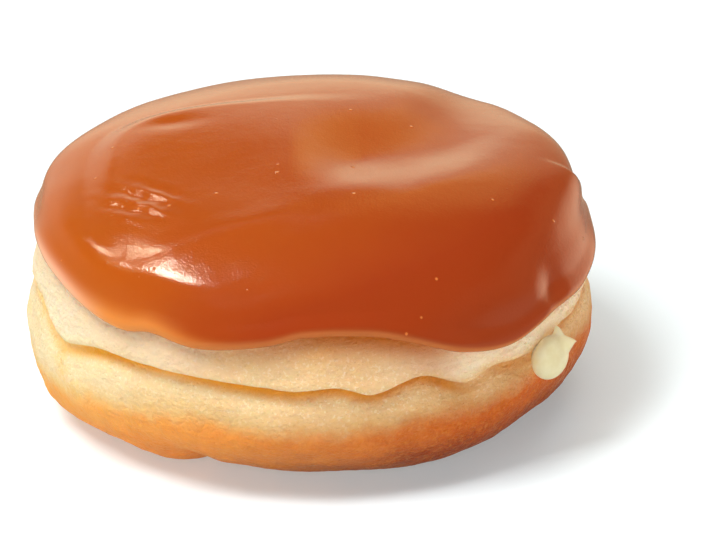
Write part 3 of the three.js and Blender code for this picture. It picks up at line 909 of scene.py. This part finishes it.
def icing_material(bubbles):
    """Glossy translucent icing, darker to the right and low down at the front with painted shade."""
    material, tree, shader = new_material("glossy maple icing")
    place = new_node(tree, "ShaderNodeTexCoord").outputs["Object"]
    where = new_node(tree, "ShaderNodeSeparateXYZ", Vector=place)
    across = where.outputs["X"]
    # Painted shade: a mask for the icing low down, away from its left end.
    low = math_node(tree, "SUBTRACT", 1, ramp_share(tree, where.outputs["Z"], 0.029, 0.042))
    low = times(tree, low, ramp_share(tree, across, -0.036, -0.008))
    clouds = math_node(tree, "MULTIPLY_ADD", noise_node(tree, place, 70, 3), 0.3, -0.15)
    # Painted shade darkens the icing towards the right and low down, with random clouds of tone mixed in.
    deeper = math_node(tree, "ADD", ramp_share(tree, across, -0.05, 0.045), clouds)
    deeper = math_node(tree, "MULTIPLY_ADD", low, 0.6, deeper)
    base = mix_colour(tree, deeper, colour(176, 84, 20), colour(152, 56, 20))
    # The lip is paler, most of all at the left, and pinkish at its far left end.
    from_left = ramp_share(tree, across, -0.039, -0.03)
    pale_lip_colour = mix_colour(tree, from_left, colour(236, 182, 150), colour(226, 146, 72))
    base = stain_and_painted_light(tree, base, read_value(tree, "lip"), 0.8, pale_lip_colour)
    specks = place_bubbles(tree, bubbles, place, 420, 0.16, 0.10)
    base = stain_and_painted_light(tree, base, ramp_share(tree, specks, 0.1, 0.6), 0.6, colour(232, 140, 70))
    plug(tree, shader.inputs["Base Color"], base)
    patches = noise_node(tree, place, 160, 3)
    rough = new_node(tree, "ShaderNodeMapRange", Value=patches, To_Min=0.08, To_Max=0.14)
    plug(tree, shader.inputs["Roughness"], rough.outputs["Result"])
    grain = times(tree, noise_node(tree, place, 2600, 2), 0.000028)
    skin = times(tree, noise_node(tree, place, 380, 3), 0.00003)
    height = math_node(tree, "ADD", math_node(tree, "ADD", grain, skin), times(tree, specks, 0.00012))
    bump = new_node(tree, "ShaderNodeBump", Height=height, Distance=1.0, Strength=1.0)
    plug(tree, shader.inputs["Normal"], bump.outputs["Normal"])
    set_sockets(shader, {
        "Subsurface Weight": 0.2,
        "Subsurface Radius": (1.0, 0.4, 0.15),
        "Subsurface Scale": 0.002,
        "IOR": 1.48,
    })
    return material


def pale_dough(tree, place, bubbles, right):
    """The unbrowned dough, darker to the right with painted shade, with yellow stains, fine pale flecks that
    are partly blisters and partly painted glints, and dark dots of painted shade in small pits.
    """
    # Painted shade: paler at the left and darker to the right.
    pale = mix_colour(tree, right, colour(242, 216, 168), colour(234, 192, 140))
    stains = ramp_share(tree, noise_node(tree, place, 120, 4, 0.6), 0.52, 0.68)
    stains = times(tree, stains, math_node(tree, "SUBTRACT", 1.15, right))
    pale = stain_and_painted_light(tree, pale, stains, 0.45, colour(238, 194, 98))
    # Fine pale flecks: partly the dough's own blisters, partly painted glints.
    blisters = ramp_share(tree, noise_node(tree, place, 1900, 3), 0.54, 0.66)
    pale = stain_and_painted_light(tree, pale, blisters, 0.45, colour(255, 240, 208))
    # Dark dots: painted shade in small pits.
    pits = place_bubbles(tree, bubbles, place, 1500, 0.30, 0.12)
    return stain_and_painted_light(tree, pale, pits, 0.35, colour(150, 96, 44))


def browned_crust(tree, right, level, fine):
    """The browned crust, deeper in colour the further down it is, and darker and redder to the right with
    painted shade.
    """
    crust = mix_colour(tree, right, colour(250, 170, 80), colour(202, 94, 14))
    deep = mix_colour(tree, right, colour(250, 150, 62), colour(132, 38, 2))
    crust = mix_colour(tree, ramp_share(tree, level, 0.2, 1.0), crust, deep)
    return stain_and_painted_light(tree, crust, ramp_share(tree, fine, 0.5, 0.72), 0.25, colour(236, 160, 76))


def dough_colour(tree, place, bubbles, mottle, fine):
    """Pale dough with a golden crease and a browned crust. It is darker and redder towards the right with
    painted shade, and its upper roll is lightened at both ends with painted light.
    """
    across = new_node(tree, "ShaderNodeSeparateXYZ", Vector=place).outputs["X"]
    # Painted shade: the share that makes the dough darker and redder towards the right, with random patches
    # mixed in.
    patchy = math_node(tree, "MULTIPLY_ADD", mottle, 0.5, -0.25)
    right = math_node(tree, "ADD", ramp_share(tree, across, -0.045, 0.03), patchy)
    wander = math_node(tree, "SUBTRACT", noise_node(tree, place, 170, 5, 0.65), 0.5)
    level = math_node(tree, "ADD", read_value(tree, "crust"), times(tree, wander, 0.55))
    pale = pale_dough(tree, place, bubbles, right)
    golden = mix_colour(tree, right, colour(240, 192, 112), colour(204, 140, 74))
    pale = stain_and_painted_light(tree, pale, ramp_share(tree, level, -0.4, 0.05), 0.7, golden)
    crust = browned_crust(tree, right, level, fine)
    base = mix_colour(tree, ramp_share(tree, level, -0.12, 0.28), pale, crust)
    # Painted light: the upper roll is lightened at its left and right ends.
    roll = read_value(tree, "roll")
    painted_light_left = math_node(tree, "SUBTRACT", 1, ramp_share(tree, across, -0.022, -0.008))
    base = stain_and_painted_light(tree, base, times(tree, roll, painted_light_left), 0.6, colour(244, 226, 196))
    painted_light_right = ramp_share(tree, across, 0.006, 0.026)
    base = stain_and_painted_light(tree, base, times(tree, roll, painted_light_right), 0.95, colour(255, 232, 198))
    # The crease's golden colour: partly its own, partly painted warm shade in the recess.
    gold = mix_colour(tree, right, colour(246, 170, 40), colour(206, 128, 44))
    base = stain_and_painted_light(tree, base, read_value(tree, "crease"), 0.98, gold)
    # Browning and painted shade under the icing's lip, with a painted dark line of shade just under its
    # edge.
    return stain_and_painted_light(tree, base, read_value(tree, "under_icing"), 0.95, colour(188, 98, 18))


def dough_material(bubbles):
    """Soft fried dough that is moist in patches and finely wrinkled."""
    material, tree, shader = new_material("fried dough skin")
    place = new_node(tree, "ShaderNodeTexCoord").outputs["Object"]
    mottle = noise_node(tree, place, 260, 4)
    fine = noise_node(tree, place, 1500, 3)
    plug(tree, shader.inputs["Base Color"], dough_colour(tree, place, bubbles, mottle, fine))
    moist = new_node(tree, "ShaderNodeMapRange", Value=mottle,
                     From_Min=0.3, From_Max=0.7, To_Min=0.7, To_Max=0.32)
    plug(tree, shader.inputs["Roughness"], moist.outputs["Result"])
    wrinkles = noise_node(tree, place, 620, 4, 0.6, (1, 1, 1.6))
    relief = math_node(tree, "MULTIPLY_ADD", fine, 0.0006, times(tree, mottle, 0.0012))
    relief = math_node(tree, "MULTIPLY_ADD", wrinkles, 0.0012, relief)
    bump = new_node(tree, "ShaderNodeBump", Height=relief, Distance=1.0, Strength=0.9)
    plug(tree, shader.inputs["Normal"], bump.outputs["Normal"])
    set_sockets(shader, {
        "Subsurface Weight": 0.4,
        "Subsurface Radius": (1.0, 0.5, 0.2),
        "Subsurface Scale": 0.0022,
        "Specular IOR Level": 0.35,
    })
    return material


def cream_material():
    """Smooth ivory cream with faint clouds."""
    material, tree, shader = new_material("soft cream")
    place = new_node(tree, "ShaderNodeTexCoord").outputs["Object"]
    clouds = noise_node(tree, place, 420, 3)
    cloudy = ramp_share(tree, clouds, 0.35, 0.7)
    base = mix_colour(tree, cloudy, colour(218, 207, 166), colour(225, 216, 182))
    plug(tree, shader.inputs["Base Color"], base)
    patches = noise_node(tree, place, 900, 2)
    rough = new_node(tree, "ShaderNodeMapRange", Value=patches, To_Min=0.25, To_Max=0.4)
    plug(tree, shader.inputs["Roughness"], rough.outputs["Result"])
    height = times(tree, clouds, 0.00012)
    bump = new_node(tree, "ShaderNodeBump", Height=height, Distance=1.0, Strength=0.6)
    plug(tree, shader.inputs["Normal"], bump.outputs["Normal"])
    set_sockets(shader, {
        "Subsurface Weight": 0.5,
        "Subsurface Radius": (1.0, 0.8, 0.5),
        "Subsurface Scale": 0.002,
    })
    return material


def place_camera():
    """The photograph's view: a long lens that looks down, with the doughnut left of and above the middle."""
    down = math.radians(24)
    roll = math.radians(1.2)
    distance = 0.75
    pixels_per_metre = 6260
    target = Vector((0, 0, 0.022))
    target_pixel = (309, 258)
    towards = Vector((0, -math.cos(down), math.sin(down)))
    right = Vector((1, 0, 0))
    up = Vector((0, math.sin(down), math.cos(down)))
    aim = (target + right * (IMAGE_WIDTH / 2 - target_pixel[0]) / pixels_per_metre
           - up * (IMAGE_HEIGHT / 2 - target_pixel[1]) / pixels_per_metre)
    place = target + towards * distance
    back = (place - aim).normalized()
    rolled_up = (up * math.cos(roll) + right * math.sin(roll)).normalized()
    side = rolled_up.cross(back).normalized()
    turn = Matrix((side, back.cross(side), back)).transposed()
    data = bpy.data.cameras.new("camera")
    data.sensor_width = 36
    data.lens = pixels_per_metre * distance * data.sensor_width / IMAGE_WIDTH
    camera = bpy.data.objects.new("camera", data)
    camera.matrix_world = Matrix.Translation(place) @ turn.to_4x4()
    bpy.context.scene.collection.objects.link(camera)
    bpy.context.scene.camera = camera


def area_light(name, way, distance, size, power, tint, lights_colour):
    """A softbox that faces the doughnut. It lights only the surfaces' colour or only their gloss."""
    data = bpy.data.lights.new(name, "AREA")
    data.shape = "RECTANGLE"
    data.size, data.size_y = size
    data.energy = power
    data.color = tint
    data.use_shadow = name not in SHADOWLESS
    light = bpy.data.objects.new(name, data)
    light.location = Vector(way).normalized() * distance + LIGHT_TARGET
    light.rotation_euler = Vector(way).to_track_quat("Z", "Y").to_euler()
    light.visible_glossy = not lights_colour
    light.visible_diffuse = lights_colour
    bpy.context.scene.collection.objects.link(light)


def light_the_scene():
    for name, settings in COLOUR_LIGHTS.items():
        area_light(name, *settings, lights_colour=True)
    for name, settings in GLOSS_LIGHTS.items():
        area_light(name, *settings, lights_colour=False)
    make_world()
    bpy.context.scene.view_settings.view_transform = "Standard"


def make_world():
    """A studio that glows low down, most of all straight behind the doughnut, and is dark overhead."""
    world = bpy.data.worlds.new("studio")
    world.use_nodes = True
    bpy.context.scene.world = world
    tree = world.node_tree
    place = new_node(tree, "ShaderNodeTexCoord").outputs["Generated"]
    way = new_node(tree, "ShaderNodeSeparateXYZ", Vector=place)
    turn = math_node(tree, "ARCTAN2", way.outputs["X"], way.outputs["Y"])
    share = math_node(tree, "MULTIPLY_ADD", turn, 0.5 / math.pi, 0.5)
    round_glow = new_node(tree, "ShaderNodeValToRGB", Fac=share)
    stops = round_glow.color_ramp.elements
    while len(stops) < len(GLOW_ROUND):
        stops.new(0.5)
    for stop, (angle, glow) in zip(stops, GLOW_ROUND):
        stop.position = angle / 360 + 0.5
        stop.color = (*glow, 1)
    above = ramp_share(tree, way.outputs["Z"], *GLOW_BOTTOM)
    overhead = ramp_share(tree, way.outputs["Z"], *GLOW_TOP)
    glow = mix_colour(tree, above, (*FLOOR_SHEEN, 1), round_glow.outputs["Color"])
    glow = mix_colour(tree, overhead, glow, (*OVERHEAD_SHEEN, 1))
    for azimuth, elevation, radius, patch in GLOW_PATCHES:
        turn, rise = math.radians(azimuth), math.radians(elevation)
        middle = (math.sin(turn) * math.cos(rise), math.cos(turn) * math.cos(rise), math.sin(rise))
        near = new_node(tree, "ShaderNodeVectorMath", {"operation": "DOT_PRODUCT"})
        plug(tree, near.inputs[0], place)
        plug(tree, near.inputs[1], middle)
        share = ramp_share(tree, near.outputs["Value"], math.cos(math.radians(radius)), 1)
        glow = mix_colour(tree, share, glow, (*patch, 1), "ADD")
    plug(tree, tree.nodes["Background"].inputs["Color"], glow)


def make_floor():
    """A pale matt floor that the icing's gloss doesn't show."""
    bm = bmesh.new()
    bmesh.ops.create_grid(bm, x_segments=1, y_segments=1, size=4)
    mesh = bpy.data.meshes.new("floor")
    bm.to_mesh(mesh)
    bm.free()
    floor = bpy.data.objects.new("floor", mesh)
    bpy.context.scene.collection.objects.link(floor)
    material, _, shader = new_material("pale floor")
    set_sockets(shader, {
        "Base Color": (*FLOOR_COLOUR, 1),
        "Roughness": 0.8,
        "Emission Color": (*FLOOR_GLOW, 1),
        "Emission Strength": 1,
    })
    mesh.materials.append(material)
    floor.visible_glossy = False


place_camera()
light_the_scene()
make_floor()

section = Section(COLUMNS)
bubbles = bubbles_group()
make_dough(section).data.materials.append(dough_material(bubbles))
make_icing(section).data.materials.append(icing_material(bubbles))
make_cream().data.materials.append(cream_material())
